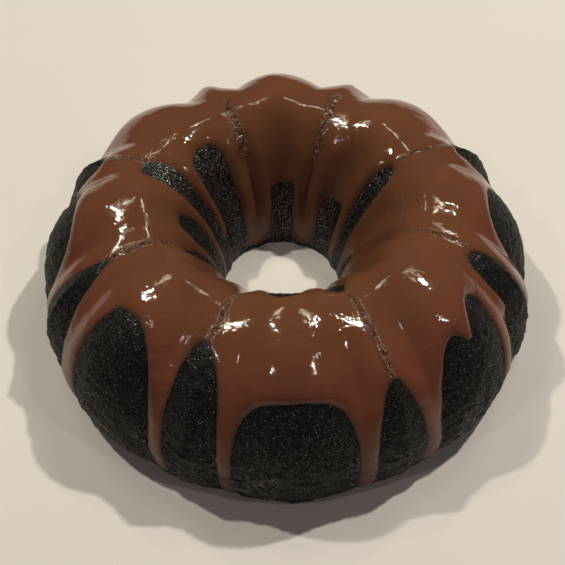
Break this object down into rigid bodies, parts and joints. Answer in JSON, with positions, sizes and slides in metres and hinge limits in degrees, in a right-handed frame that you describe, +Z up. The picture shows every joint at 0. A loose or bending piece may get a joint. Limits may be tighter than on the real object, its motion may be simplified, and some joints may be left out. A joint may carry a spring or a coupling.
{
  "type": "bundt cake",
  "caption": "Fluted dark chocolate ring cake on a flat base, with a poured chocolate glaze that runs down its valleys in long drips.",
  "frame": {"origin": "centre of the ring on the surface that it stands on", "axes": "+Z up through the hole; -Y towards the lobe at the front; +Y towards the lobe at the back"},
  "size_m": [0.24, 0.246, 0.0749],
  "materials": {
    "crumb": "matt, open, nearly black chocolate crumb",
    "glaze": "wet-looking, glossy mid-brown poured chocolate"
  },
  "bodies": {
    "root": {"cake": "crumb", "glaze": "glaze"}
  },
  "joints": []
}
